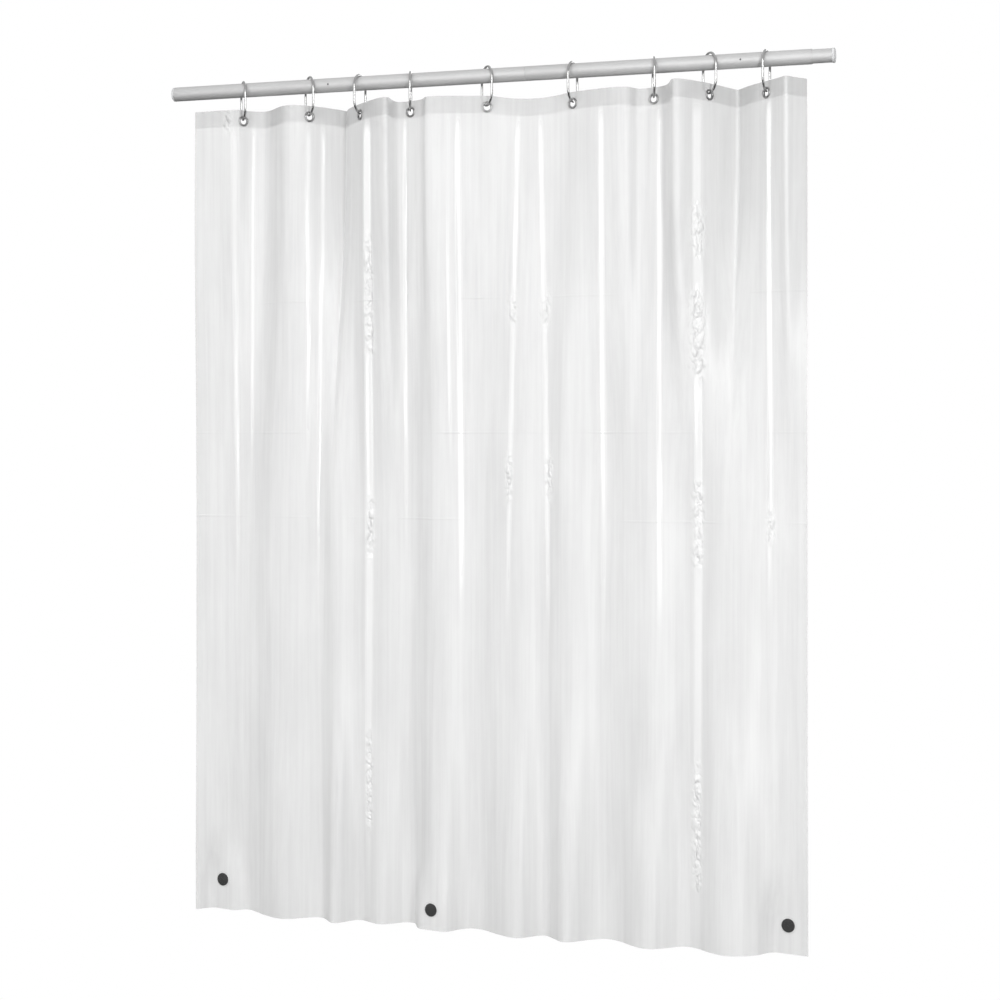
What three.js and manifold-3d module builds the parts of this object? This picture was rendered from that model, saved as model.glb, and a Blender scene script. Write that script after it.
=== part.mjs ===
// Shower curtain: a clear plastic liner on nine oval rings, hung from a two-part tension rod.
// Millimetres, +Z up. The rod's axis is the X axis, the origin is the centre of the left
// foot's wall face, and the front of the curtain faces -Y.

import * as THREE from "three";
import { mergeVertices } from "three/addons/utils/BufferGeometryUtils.js";
import Module from "manifold-3d";

const wasm = await Module();
wasm.setup();

// Clearance between pieces that touch or slide on each other.
const GAP = 0.3;

// Tension rod.
const ROD_SPAN = 1524;
const ROD_DIAMETER = 32;
const TUBE_WALL = 1;
const SEAM_X = 853;
const SLEEVE_INSET = 47.7;
const TUBE_OVERLAP = 420;
const FOOT_DISC = 5;
const FOOT_SPIGOT = 25;
const INSERT_LENGTH = 30;
const SPINDLE_DIAMETER = 8;
const SPINDLE_LENGTH = 100;
const PLUG_LENGTH = 34;
const CONE_LENGTH = 16;
const RIVET_HEAD = 3.8;
const RIVET_HOLE = 3.2;
const RIVET_DOME = 0.8;
const OUTER_RIVET_X = 392;
const SLEEVE_RIVET_INSET = 148;

// Liner: its drop, and how much wider it is cut than it hangs.
const FILM_DROP = 1829;
const FULLNESS = 1.3;
const SIDE_GAP = 58.5;
const FILM_THICKNESS = 0.3;
const HEADER_HEIGHT = 38;
const HOLE_DROP = 24.3;
const EDGE_MARGIN = 122.5;
const FOLD_LIFT = 0.03;

// Shares of the drop: the header's folds have faded by the first, and the bottom edge's
// waves grow from the second. Between them the film keeps a share of those waves.
const FOLDS_END = 0.5;
const WAVES_START = 0.7;
const MIDDLE_WAVES = 0.45;
const HEM_WAVE = 29;

// Rows of the film below its header, as shares of the drop, and the rows that bound the
// magnets' flats, as heights above the bottom edge.
const FOLD_ROWS = [0.14, 0.28, FOLDS_END, WAVES_START];
const MAGNET_ROWS = [147, 92, 20];
const FLAT_MARGIN = 2;

// Rings: their wire, and the room that they leave around the rod across and below it.
const RING_WIRE = 5.5;
const RING_SIDE_ROOM = 17;
const RING_DROP_ROOM = 48;

// Eyelets, set in the header with a washer behind.
const EYELET_BORE = 15;
const EYELET_FLANGE = 24;
const EYELET_WALL = 0.8;
const EYELET_CROWN = 1.2;
const EYELET_LIP = 1.5;
const WASHER_THICKNESS = 0.8;
const HANG_GAP = 1.4;

// Weight magnets, each under a clear welded pocket.
const MAGNET_DIAMETER = 29;
const MAGNET_THICKNESS = 2;
const POCKET_DIAMETER = 38;
const POCKET_SKIN = 0.4;
const MAGNETS = [
  { share: 0.042, height: 68, yaw: -10 },
  { share: 0.414, height: 45, yaw: -10 },
  { share: 0.969, height: 60, yaw: -10 },
];

// Each ring: how far it has bunched along the rod, as a share of the spare film, its turn
// about the vertical, the turn of the film at its eyelet, and how firmly the film keeps
// that turn. A turn of 0 faces the front, and a positive one turns towards +X. The sag is
// how far the header droops before the next ring.
const HANGERS = [
  { bunch: 0.055, ringTurn: 35, filmTurn: 50, hold: 1 },
  { bunch: 0.083, ringTurn: 42, filmTurn: 45, hold: 1 },
  { bunch: 0.013, ringTurn: -5, filmTurn: -42, hold: 1 },
  { bunch: -0.061, ringTurn: 18, filmTurn: -15, hold: 0.35 },
  { bunch: 0.002, ringTurn: 42, filmTurn: 20, hold: 1, sag: 8 },
  { bunch: 0.104, ringTurn: -5, filmTurn: -20, hold: 1 },
  { bunch: 0.169, ringTurn: 18, filmTurn: -15, hold: 0.35 },
  { bunch: 0.095, ringTurn: 42, filmTurn: 60, hold: 1 },
  { bunch: 0.021, ringTurn: -5, filmTurn: -40, hold: 1 },
];

// Waves along the bottom edge: place as a share of the hung width, and depth as a share of
// HEM_WAVE, negative towards the front.
const HEM_CRESTS = [
  [0, -0.2], [0.074, 1], [0.159, -1], [0.216, 0.3], [0.251, -1], [0.283, 0.5],
  [0.322, -0.2], [0.365, 1], [0.423, -0.9], [0.474, 0.7], [0.555, -1], [0.592, 0.4],
  [0.631, -1], [0.688, 0.9], [0.762, -1], [0.817, 0.5], [0.884, -1.1], [0.975, 0.9],
  [1, 0.6],
];

// Facet counts.
const TUBE_SIDES = 32;
const SMALL_SIDES = 16;
const EYELET_SIDES = 12;
const MAGNET_SIDES = 24;
const RING_SIDES = 6;
const RING_STEPS = 24;
const BAY_STEPS = 6;
const MARGIN_STEPS = 4;

// Sizes that follow.
const ROD_RADIUS = ROD_DIAMETER / 2;
const OUTER_BORE = ROD_RADIUS - TUBE_WALL;
const INNER_RADIUS = OUTER_BORE - GAP;
const INNER_BORE = INNER_RADIUS - TUBE_WALL;
const SPINDLE_RADIUS = SPINDLE_DIAMETER / 2;
const INNER_START = SEAM_X - TUBE_OVERLAP;
const INNER_END = ROD_SPAN - FOOT_DISC - GAP;
const SLEEVE_START = SEAM_X + GAP;
const SLEEVE_END = ROD_SPAN - SLEEVE_INSET;

const HUNG_WIDTH = ROD_SPAN - 2 * SIDE_GAP;
const CUT_WIDTH = HUNG_WIDTH * FULLNESS;
const SPARE_WIDTH = CUT_WIDTH - HUNG_WIDTH;
const HOLE_PITCH = (CUT_WIDTH - 2 * EDGE_MARGIN) / (HANGERS.length - 1);
const HALF_FLAT = EYELET_FLANGE / 2 + 0.5;

const RING_WIDTH = ROD_DIAMETER + RING_SIDE_ROOM + 2 * RING_WIRE;
const RING_HEIGHT = ROD_DIAMETER + RING_DROP_ROOM + 2 * RING_WIRE;
const WIRE_RADIUS = RING_WIRE / 2;
const RING_BEND = (RING_WIDTH - RING_WIRE) / 2;
const WIRE_TOP_Z = ROD_RADIUS + GAP + 2 * RING_WIRE - RING_HEIGHT;
const HOLE_Z = WIRE_TOP_Z + HANG_GAP - EYELET_BORE / 2;
const FILM_TOP_Z = HOLE_Z + HOLE_DROP;

// Layers through the header, as distances in front of the film's middle surface.
const FILM_FRONT = FILM_THICKNESS / 2;
const BAND_FRONT = -FILM_FRONT - GAP;
const BAND_BACK = BAND_FRONT - FILM_THICKNESS;
const WASHER_FRONT = BAND_BACK - GAP;
const WASHER_BACK = WASHER_FRONT - WASHER_THICKNESS;
const BARREL_RADIUS = EYELET_BORE / 2 + EYELET_WALL;

// ---------------------------------------------------------------- helpers

function turn(degrees) {
  return THREE.MathUtils.degToRad(degrees);
}

function finish(name, geometry, material) {
  const mesh = new THREE.Mesh(geometry, material);
  mesh.name = name;
  return mesh;
}

// A body of revolution from [radius, distance] pairs, whose axis lies along +X.
function turned(profile, sides) {
  const points = profile.map(([radius, along]) => new THREE.Vector2(radius, along));
  return new THREE.LatheGeometry(points, sides).rotateZ(-Math.PI / 2);
}

// A tube along +X.
function tube(start, end, bore, radius, sides) {
  const profile = [[bore, start], [radius, start], [radius, end], [bore, end], [bore, start]];
  return turned(profile, sides);
}

// A body of revolution whose axis points to the front, -Y.
function fronted(profile, sides) {
  return turned(profile, sides).rotateZ(-Math.PI / 2);
}

function toSolid(geometry) {
  const bare = geometry.clone();
  bare.deleteAttribute("normal");
  bare.deleteAttribute("uv");
  const merged = mergeVertices(bare);
  const vertProperties = new Float32Array(merged.attributes.position.array);
  const triVerts = new Uint32Array(merged.index.array);
  return new wasm.Manifold(new wasm.Mesh({ numProp: 3, vertProperties, triVerts }));
}

function toGeometry(solid) {
  const mesh = solid.getMesh();
  const geometry = new THREE.BufferGeometry();
  geometry.setAttribute("position", new THREE.BufferAttribute(mesh.vertProperties, 3));
  geometry.setIndex(new THREE.BufferAttribute(mesh.triVerts, 1));
  geometry.computeVertexNormals();
  return geometry;
}

function cut(geometry, cutters) {
  const solid = cutters.reduce((left, cutter) => left.subtract(toSolid(cutter)), toSolid(geometry));
  return toGeometry(solid);
}

// -------------------------------------------------------------- materials

const satinSteel = new THREE.MeshStandardMaterial({ color: 0xc4c6c8, roughness: 0.35, metalness: 0.9 });
const ringPlastic = new THREE.MeshStandardMaterial({ color: 0xd4d6d8, roughness: 0.25, metalness: 0.1 });
const eyeletMetal = new THREE.MeshStandardMaterial({ color: 0xb8babd, roughness: 0.3, metalness: 1 });
const footPlastic = new THREE.MeshStandardMaterial({ color: 0xdadbdc, roughness: 0.6, metalness: 0 });
const lockPlastic = new THREE.MeshStandardMaterial({ color: 0x505256, roughness: 0.5, metalness: 0 });
const clearFilm = new THREE.MeshStandardMaterial({
  color: 0xe9ebec,
  roughness: 0.3,
  metalness: 0,
  transparent: true,
  opacity: 0.7,
});
const magnetGrey = new THREE.MeshStandardMaterial({ color: 0x4a4b4d, roughness: 0.45, metalness: 0.4 });

// ------------------------------------------------------------ tension rod

function rivetHole(x) {
  const reach = ROD_RADIUS + 1;
  const profile = [
    [0, OUTER_BORE - 1],
    [RIVET_HOLE / 2, OUTER_BORE - 1],
    [RIVET_HOLE / 2, reach],
    [0, reach],
  ];
  return fronted(profile, EYELET_SIDES).translate(x, 0, 0);
}

function outerTube() {
  const start = FOOT_DISC + GAP;
  const shell = tube(start, SEAM_X, OUTER_BORE, ROD_RADIUS, TUBE_SIDES);
  return finish("outer_tube", cut(shell, [rivetHole(OUTER_RIVET_X)]), satinSteel);
}

function glideSleeve() {
  const shell = tube(SLEEVE_START, SLEEVE_END, OUTER_BORE, ROD_RADIUS, TUBE_SIDES);
  return finish("glide_sleeve", cut(shell, [rivetHole(SLEEVE_END - SLEEVE_RIVET_INSET)]), satinSteel);
}

function innerTube() {
  const shell = tube(INNER_START, INNER_END, INNER_BORE, INNER_RADIUS, TUBE_SIDES);
  return finish("inner_tube", shell, satinSteel);
}

// A domed rivet through the tube wall; its shank stops flush with the bore.
function rivet(name, x) {
  const head = RIVET_HEAD / 2;
  const shank = RIVET_HOLE / 2 - GAP;
  const seat = ROD_RADIUS + GAP;
  const profile = [
    [0, OUTER_BORE + GAP / 2],
    [shank, OUTER_BORE + GAP / 2],
    [shank, seat],
    [head, seat],
    [head, seat + RIVET_DOME / 2],
    [head / 2, seat + RIVET_DOME],
    [0, seat + RIVET_DOME],
  ];
  return finish(name, fronted(profile, EYELET_SIDES).translate(x, 0, 0), satinSteel);
}

// A wall foot: a disc against the wall and a spigot inside its tube.
function foot(name, discRadius, tubeBore) {
  const spigot = tubeBore - GAP;
  const profile = [
    [0, 0],
    [discRadius - 1, 0],
    [discRadius, 1],
    [discRadius, FOOT_DISC],
    [spigot, FOOT_DISC],
    [spigot, FOOT_DISC + FOOT_SPIGOT],
    [0, FOOT_DISC + FOOT_SPIGOT],
  ];
  return finish(name, turned(profile, TUBE_SIDES), footPlastic);
}

function rightFoot() {
  const mesh = foot("right_foot", INNER_RADIUS + 1, INNER_BORE);
  mesh.position.x = ROD_SPAN;
  mesh.rotation.z = Math.PI;
  return mesh;
}

// The plug that closes the inner tube's hidden end and holds the lock spindle.
function tubeInsert() {
  const radius = INNER_BORE - GAP;
  const bore = SPINDLE_RADIUS + GAP;
  const collar = tube(INNER_START, INNER_START + INSERT_LENGTH, bore, radius, SMALL_SIDES);
  return finish("tube_insert", collar, lockPlastic);
}

function lockSpindle() {
  const end = INNER_START + INSERT_LENGTH;
  const profile = [
    [0, end - SPINDLE_LENGTH],
    [SPINDLE_RADIUS, end - SPINDLE_LENGTH],
    [SPINDLE_RADIUS, end],
    [0, end],
  ];
  return finish("lock_spindle", turned(profile, SMALL_SIDES), satinSteel);
}

// The split plug grips the outer tube when the cone is drawn into its tapered mouth.
function lockPlug() {
  const end = INNER_START - GAP;
  const start = end - PLUG_LENGTH;
  const bore = SPINDLE_RADIUS + GAP;
  const mouth = INNER_RADIUS - 2;
  const profile = [
    [mouth, start],
    [INNER_RADIUS, start],
    [INNER_RADIUS, end],
    [bore, end],
    [bore, start + CONE_LENGTH],
    [mouth, start],
  ];
  return finish("lock_plug", turned(profile, SMALL_SIDES), lockPlastic);
}

function lockCone() {
  const plugStart = INNER_START - GAP - PLUG_LENGTH;
  const start = plugStart - CONE_LENGTH / 2;
  const end = start + CONE_LENGTH;
  const bore = SPINDLE_RADIUS + GAP;
  const wide = INNER_RADIUS - 3;
  const taper = (INNER_RADIUS - 2 - bore) / CONE_LENGTH;
  const narrow = INNER_RADIUS - 2 - (end - plugStart) * taper - 2 * GAP;
  const shoulder = Math.min(wide, narrow + CONE_LENGTH * taper / 2);
  const profile = [
    [bore, start],
    [wide, start],
    [shoulder, plugStart - GAP],
    [narrow, end],
    [bore, end],
    [bore, start],
  ];
  return finish("lock_cone", turned(profile, SMALL_SIDES), lockPlastic);
}

// ------------------------------------------------------------------ liner

// Where the rings have bunched to along the rod.
function ringX(index) {
  const evenShare = (EDGE_MARGIN + index * HOLE_PITCH) / CUT_WIDTH;
  return SIDE_GAP + evenShare * HUNG_WIDTH + HANGERS[index].bunch * SPARE_WIDTH;
}

// How much higher a turned ring rests on the rod than one that stands square across it.
function ringLift(index) {
  const reach = ROD_RADIUS + GAP + WIRE_RADIUS;
  const narrowing = Math.cos(turn(HANGERS[index].ringTurn));
  let lift = 0;
  for (let side = 0; side < Math.min(RING_BEND, reach / narrowing); side += 0.5) {
    const rodTop = Math.sqrt(reach ** 2 - (side * narrowing) ** 2);
    const ringTop = Math.sqrt(RING_BEND ** 2 - side ** 2);
    lift = Math.max(lift, rodTop - ringTop - (reach - RING_BEND));
  }
  return lift;
}

// The film between two fixed ends, seen from above. Its handles are drawn out until the
// curve is as long as the film that it takes up.
function bay(start, end, length) {
  const from = new THREE.Vector2(start.x, start.y);
  const to = new THREE.Vector2(end.x, end.y);
  const leave = new THREE.Vector2(Math.cos(start.turn), Math.sin(start.turn));
  const arrive = new THREE.Vector2(Math.cos(end.turn), Math.sin(end.turn));
  const curve = new THREE.CubicBezierCurve(from, from.clone(), to.clone(), to);
  let low = 0;
  let high = 2 * length;
  for (let pass = 0; pass < 24; pass += 1) {
    const reach = (low + high) / 2;
    curve.v1.copy(from).addScaledVector(leave, reach * start.hold);
    curve.v2.copy(to).addScaledVector(arrive, -reach * end.hold);
    curve.updateArcLengths();
    if (curve.getLength() < length) {
      low = reach;
    } else {
      high = reach;
    }
  }
  return curve;
}

function pointsInside(curve, steps, lifts, sag) {
  const found = [];
  for (let step = 1; step < steps; step += 1) {
    const point = curve.getPointAt(step / steps);
    const along = curve.getTangentAt(step / steps);
    const droop = sag * Math.sin(Math.PI * step / steps);
    const lift = THREE.MathUtils.lerp(lifts[0], lifts[1], step / steps) - droop;
    found.push({ x: point.x, y: point.y, turn: Math.atan2(along.y, along.x), lift });
  }
  return found;
}

// The flat stretch of film that an eyelet holds.
function flatAt(index) {
  const { filmTurn, hold, sag } = HANGERS[index];
  const angle = turn(filmTurn);
  const dx = HALF_FLAT * Math.cos(angle);
  const dy = HALF_FLAT * Math.sin(angle);
  const x = ringX(index);
  const lift = ringLift(index);
  return [
    { x: x - dx, y: -dy, turn: angle, hold, lift },
    { x: x + dx, y: dy, turn: angle, hold, lift, sag },
  ];
}

// The film's line along the header, as columns from the left edge to the right one.
function headerLine() {
  const flats = HANGERS.map((hanger, index) => flatAt(index));
  const first = flats[0][0];
  const last = flats[flats.length - 1][1];
  const leftEdge = { x: SIDE_GAP, y: first.y, turn: 0, hold: 1, lift: first.lift };
  const rightEdge = { x: ROD_SPAN - SIDE_GAP, y: 0, turn: turn(15), hold: 1, lift: last.lift };
  const stops = [[leftEdge], ...flats, [rightEdge]];
  const line = [];
  stops.slice(1).forEach((stop, index) => {
    const start = stops[index].at(-1);
    const end = stop[0];
    const atEdge = start === leftEdge || end === rightEdge;
    const length = atEdge ? EDGE_MARGIN - HALF_FLAT : HOLE_PITCH - 2 * HALF_FLAT;
    const curve = bay(start, end, length);
    const steps = atEdge ? MARGIN_STEPS : BAY_STEPS;
    const lifts = [start.lift, end.lift];
    line.push(...stops[index], ...pointsInside(curve, steps, lifts, start.sag ?? 0));
  });
  line.push(rightEdge);
  return line;
}

// Depth and slope of the bottom edge's waves at x.
function hemWave(x) {
  const share = THREE.MathUtils.clamp((x - SIDE_GAP) / HUNG_WIDTH, 0, 1);
  const next = Math.max(1, HEM_CRESTS.findIndex(([place]) => place >= share));
  const [startShare, startDepth] = HEM_CRESTS[next - 1];
  const [endShare, endDepth] = HEM_CRESTS[next];
  const phase = Math.PI * (share - startShare) / (endShare - startShare);
  const rise = HEM_WAVE * (endDepth - startDepth) / 2;
  const y = HEM_WAVE * startDepth + rise * (1 - Math.cos(phase));
  const slope = rise * Math.sin(phase) * Math.PI / ((endShare - startShare) * HUNG_WIDTH);
  return { y, slope };
}

function magnetX(magnet) {
  return SIDE_GAP + magnet.share * HUNG_WIDTH;
}

function magnetReach() {
  return POCKET_DIAMETER / 2 + FLAT_MARGIN;
}

// Rows of the film, as drops below its top edge.
function filmRows() {
  const folds = FOLD_ROWS.map((share) => share * FILM_DROP);
  const flats = MAGNET_ROWS.map((height) => FILM_DROP - height);
  return [0, HEADER_HEIGHT, ...folds, ...flats, FILM_DROP];
}

// A magnet keeps the film flat around it, from its second row down.
function magnetFlat(x, drop) {
  if (drop < FILM_DROP - MAGNET_ROWS[1]) {
    return null;
  }
  return MAGNETS.find((magnet) => Math.abs(x - magnetX(magnet)) <= magnetReach()) ?? null;
}

// A point of the film's middle surface at a column and a drop, and the film's turn there.
function hang(column, drop) {
  const { lerp, smoothstep } = THREE.MathUtils;
  const folds = 1 - smoothstep(drop, 1.5 * HEADER_HEIGHT, FOLDS_END * FILM_DROP);
  const growth = smoothstep(drop, WAVES_START * FILM_DROP, FILM_DROP);
  const waves = (1 - folds) * lerp(MIDDLE_WAVES, 1, growth);
  const lift = (column.lift - FOLD_LIFT * column.y) * (1 - drop / FILM_DROP);
  const z = FILM_TOP_Z - drop + lift;
  const magnet = magnetFlat(column.x, drop);
  if (magnet) {
    const angle = turn(magnet.yaw);
    const y = hemWave(magnetX(magnet)).y + Math.tan(angle) * (column.x - magnetX(magnet));
    return { x: column.x, y, z, turn: angle };
  }
  const wave = hemWave(column.x);
  const across = lerp(1, Math.cos(column.turn), folds);
  const inwards = folds * Math.sin(column.turn) + waves * wave.slope;
  const y = folds * column.y + waves * wave.y;
  return { x: column.x, y, z, turn: Math.atan2(inwards, across) };
}

// Columns of the header line, with more where a magnet's flat starts and ends.
function filmColumns() {
  const line = headerLine();
  const reach = magnetReach();
  const wanted = MAGNETS.flatMap((magnet) => [magnetX(magnet) - reach, magnetX(magnet) + reach]);
  wanted.forEach((x) => {
    const next = line.findIndex((column) => column.x > x);
    if (next > 0 && x > line[0].x) {
      const before = line[next - 1];
      const after = line[next];
      const share = (x - before.x) / (after.x - before.x);
      const y = THREE.MathUtils.lerp(before.y, after.y, share);
      const angle = THREE.MathUtils.lerp(before.turn, after.turn, share);
      const lift = THREE.MathUtils.lerp(before.lift, after.lift, share);
      line.splice(next, 0, { x, y, turn: angle, lift });
    }
  });
  return line;
}

// A box's back splits its squares the other way from its front, which would let the two
// faces of a thin twisted sheet cross. This splits the back's squares like the front's.
function turnBackDiagonals(geometry) {
  const index = geometry.index.array;
  const back = geometry.groups[5];
  for (let at = back.start; at < back.start + back.count; at += 6) {
    const [a, b, d, , c] = index.slice(at, at + 6);
    index.set([a, b, c, a, c, d], at);
  }
}

// A closed sheet between two distances in front of the film's middle surface.
function sheet(columns, drops, front, back) {
  const wide = columns.length - 1;
  const tall = drops.length - 1;
  const geometry = new THREE.BoxGeometry(wide, tall, 1, wide, tall, 1);
  const position = geometry.attributes.position;
  for (let index = 0; index < position.count; index += 1) {
    const column = columns[Math.round(position.getX(index) + wide / 2)];
    const drop = drops[Math.round(tall / 2 - position.getY(index))];
    const middle = hang(column, drop);
    const offset = position.getZ(index) > 0 ? front : back;
    const x = middle.x + offset * Math.sin(middle.turn);
    const y = middle.y - offset * Math.cos(middle.turn);
    position.setXYZ(index, x, y, middle.z);
  }
  turnBackDiagonals(geometry);
  return geometry;
}

// The height of an eyelet's centre, which follows its ring.
function holeZ(index) {
  return HOLE_Z + ringLift(index);
}

// Turns a piece about the vertical and moves it.
function place(mesh, x, y, z, degrees) {
  mesh.position.set(x, y, z);
  mesh.rotation.z = turn(degrees);
  return mesh;
}

function eyeletHoles() {
  const radius = BARREL_RADIUS + GAP;
  const reach = 2 * WASHER_BACK;
  const profile = [[0, reach], [radius, reach], [radius, -reach], [0, -reach]];
  return HANGERS.map((hanger, index) => {
    const hole = fronted(profile, EYELET_SIDES);
    return hole.rotateZ(turn(hanger.filmTurn)).translate(ringX(index), 0, holeZ(index));
  });
}

function linerFilm(columns) {
  const film = sheet(columns, filmRows(), FILM_FRONT, -FILM_FRONT);
  return finish("liner_film", cut(film, eyeletHoles()), clearFilm);
}

function headerBand(columns) {
  const band = sheet(columns, [0, HEADER_HEIGHT], BAND_FRONT, BAND_BACK);
  return finish("header_band", cut(band, eyeletHoles()), clearFilm);
}

// -------------------------------------------------- rings, eyelets, magnets

// An oval ring: a torus drawn apart at its middle, standing across the rod.
function ring(index) {
  const straight = RING_HEIGHT - RING_WIDTH;
  const geometry = new THREE.TorusGeometry(RING_BEND, WIRE_RADIUS, RING_SIDES, RING_STEPS);
  geometry.rotateZ(Math.PI / RING_STEPS);
  const position = geometry.attributes.position;
  for (let vertex = 0; vertex < position.count; vertex += 1) {
    const height = position.getY(vertex);
    position.setY(vertex, height + Math.sign(height) * straight / 2);
  }
  geometry.rotateX(Math.PI / 2).rotateZ(Math.PI / 2);
  const mesh = finish(`ring_${index + 1}`, geometry, ringPlastic);
  const centre = ROD_RADIUS + GAP + RING_WIRE - RING_HEIGHT / 2 + ringLift(index);
  return place(mesh, ringX(index), 0, centre, HANGERS[index].ringTurn);
}

// The flanged barrel of an eyelet, rolled outwards behind its washer.
function eyelet(index) {
  const bore = EYELET_BORE / 2;
  const flange = EYELET_FLANGE / 2;
  const seat = FILM_FRONT + GAP;
  const crown = seat + EYELET_CROWN;
  const lipFront = WASHER_BACK - GAP;
  const lipBack = lipFront - EYELET_WALL;
  const profile = [
    [bore + 0.5, lipBack],
    [BARREL_RADIUS + EYELET_LIP, lipBack],
    [BARREL_RADIUS + EYELET_LIP, lipFront],
    [BARREL_RADIUS, lipFront],
    [BARREL_RADIUS, seat],
    [flange, seat],
    [flange - 0.5, crown - 0.3],
    [(flange + bore) / 2, crown],
    [bore, seat],
    [bore, WASHER_FRONT],
    [bore + 0.5, lipBack],
  ];
  const mesh = finish(`eyelet_${index + 1}`, fronted(profile, EYELET_SIDES), eyeletMetal);
  return place(mesh, ringX(index), 0, holeZ(index), HANGERS[index].filmTurn);
}

function washer(index) {
  const bore = BARREL_RADIUS + GAP;
  const radius = EYELET_FLANGE / 2;
  const profile = [
    [bore, WASHER_BACK],
    [radius, WASHER_BACK],
    [radius, WASHER_FRONT],
    [bore, WASHER_FRONT],
    [bore, WASHER_BACK],
  ];
  const mesh = finish(`washer_${index + 1}`, fronted(profile, EYELET_SIDES), eyeletMetal);
  return place(mesh, ringX(index), 0, holeZ(index), HANGERS[index].filmTurn);
}

function magnetPlace(mesh, magnet) {
  const x = magnetX(magnet);
  const z = FILM_TOP_Z - FILM_DROP + magnet.height;
  return place(mesh, x, hemWave(x).y, z, magnet.yaw);
}

function magnetDisc(magnet, index) {
  const radius = MAGNET_DIAMETER / 2;
  const back = FILM_FRONT + GAP;
  const front = back + MAGNET_THICKNESS;
  const profile = [[0, back], [radius, back], [radius, front], [0, front]];
  const mesh = finish(`magnet_${index + 1}`, fronted(profile, MAGNET_SIDES), magnetGrey);
  return magnetPlace(mesh, magnet);
}

function magnetPocket(magnet, index) {
  const inside = MAGNET_DIAMETER / 2 + GAP;
  const outside = inside + POCKET_SKIN;
  const rim = POCKET_DIAMETER / 2;
  const seat = FILM_FRONT + GAP;
  const roof = seat + MAGNET_THICKNESS + GAP;
  const profile = [
    [0, roof],
    [inside, roof],
    [inside, seat],
    [rim, seat],
    [rim, seat + POCKET_SKIN],
    [outside, seat + POCKET_SKIN],
    [outside, roof + POCKET_SKIN],
    [0, roof + POCKET_SKIN],
  ];
  const mesh = finish(`magnet_pocket_${index + 1}`, fronted(profile, MAGNET_SIDES), clearFilm);
  return magnetPlace(mesh, magnet);
}

// --------------------------------------------------------------- assembly

const rod = new THREE.Group();
rod.add(outerTube(), glideSleeve(), innerTube());
rod.add(foot("left_foot", ROD_RADIUS, OUTER_BORE), rightFoot());
rod.add(tubeInsert(), lockSpindle(), lockPlug(), lockCone());
rod.add(rivet("stop_rivet", OUTER_RIVET_X));
rod.add(rivet("sleeve_rivet", SLEEVE_END - SLEEVE_RIVET_INSET));

const columns = filmColumns();
const liner = new THREE.Group();
liner.add(linerFilm(columns), headerBand(columns));
HANGERS.forEach((hanger, index) => liner.add(ring(index), eyelet(index), washer(index)));
MAGNETS.forEach((magnet, index) => liner.add(magnetDisc(magnet, index), magnetPocket(magnet, index)));

const showerCurtain = new THREE.Group();
showerCurtain.add(rod, liner);

export default showerCurtain;
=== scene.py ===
"""A frosted shower liner on nine wire rings, hung from a two-part tension rod."""

import math

import bmesh
import bpy
import numpy as np
from mathutils import Matrix, Vector, noise


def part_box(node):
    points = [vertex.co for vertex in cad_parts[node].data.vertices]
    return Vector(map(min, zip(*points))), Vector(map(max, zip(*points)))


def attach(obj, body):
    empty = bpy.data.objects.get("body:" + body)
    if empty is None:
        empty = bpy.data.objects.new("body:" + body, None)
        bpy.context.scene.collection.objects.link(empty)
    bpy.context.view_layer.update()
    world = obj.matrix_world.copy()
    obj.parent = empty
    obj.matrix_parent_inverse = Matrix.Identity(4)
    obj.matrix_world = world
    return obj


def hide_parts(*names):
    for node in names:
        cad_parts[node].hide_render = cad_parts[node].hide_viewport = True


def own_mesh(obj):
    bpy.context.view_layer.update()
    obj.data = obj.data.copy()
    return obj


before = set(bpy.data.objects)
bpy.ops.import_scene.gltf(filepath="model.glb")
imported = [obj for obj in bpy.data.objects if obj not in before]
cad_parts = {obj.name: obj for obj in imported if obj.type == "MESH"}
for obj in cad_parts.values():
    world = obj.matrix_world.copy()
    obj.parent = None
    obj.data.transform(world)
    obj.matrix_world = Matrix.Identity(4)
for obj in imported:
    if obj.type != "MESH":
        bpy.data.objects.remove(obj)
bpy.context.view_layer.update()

# ------------------------------------------------------------------ sizes
# Metres. The liner's cut and gather are the design's own, and places come from the parts in model.glb.

RING_COUNT = 9
MAGNET_COUNT = 3
CUT_WIDTH = 1.829
DROP = 1.829
EDGE_MARGIN = 0.1225
HEADER_HEIGHT = 0.038
HOLE_DROP = 0.0243
FILM_THICKNESS = 0.0003
LAYER_GAP = 0.0003
HEM_WAVE = 0.029
FOLDS_END = 0.5
WAVES_START = 0.7
MIDDLE_WAVES = 0.45
FOLD_LIFT = 0.03
MAGNET_YAW = -10

# Each hanger: the ring's turn about the vertical, the turn of the film at its eyelet, how
# firmly the film keeps that turn, and how far the header droops before the next ring.
HANGERS = (
    dict(ring=35, film=50, hold=1.0, sag=0.0),
    dict(ring=42, film=45, hold=1.0, sag=0.0),
    dict(ring=-5, film=-42, hold=1.0, sag=0.0),
    dict(ring=18, film=-15, hold=0.35, sag=0.0),
    dict(ring=42, film=20, hold=1.0, sag=0.008),
    dict(ring=-5, film=-20, hold=1.0, sag=0.0),
    dict(ring=18, film=-15, hold=0.35, sag=0.0),
    dict(ring=42, film=60, hold=1.0, sag=0.0),
    dict(ring=-5, film=-40, hold=1.0, sag=0.0),
)

# Waves along the bottom edge: share of the hung width, and depth as a share of HEM_WAVE.
HEM_CRESTS = (
    (0, -0.2), (0.074, 1), (0.159, -1), (0.216, 0.3), (0.251, -1), (0.283, 0.5),
    (0.322, -0.2), (0.365, 1), (0.423, -0.9), (0.474, 0.7), (0.555, -1), (0.592, 0.4),
    (0.631, -1), (0.688, 0.9), (0.762, -1), (0.817, 0.5), (0.884, -1.1), (0.975, 0.9),
    (1, 0.6),
)

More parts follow.
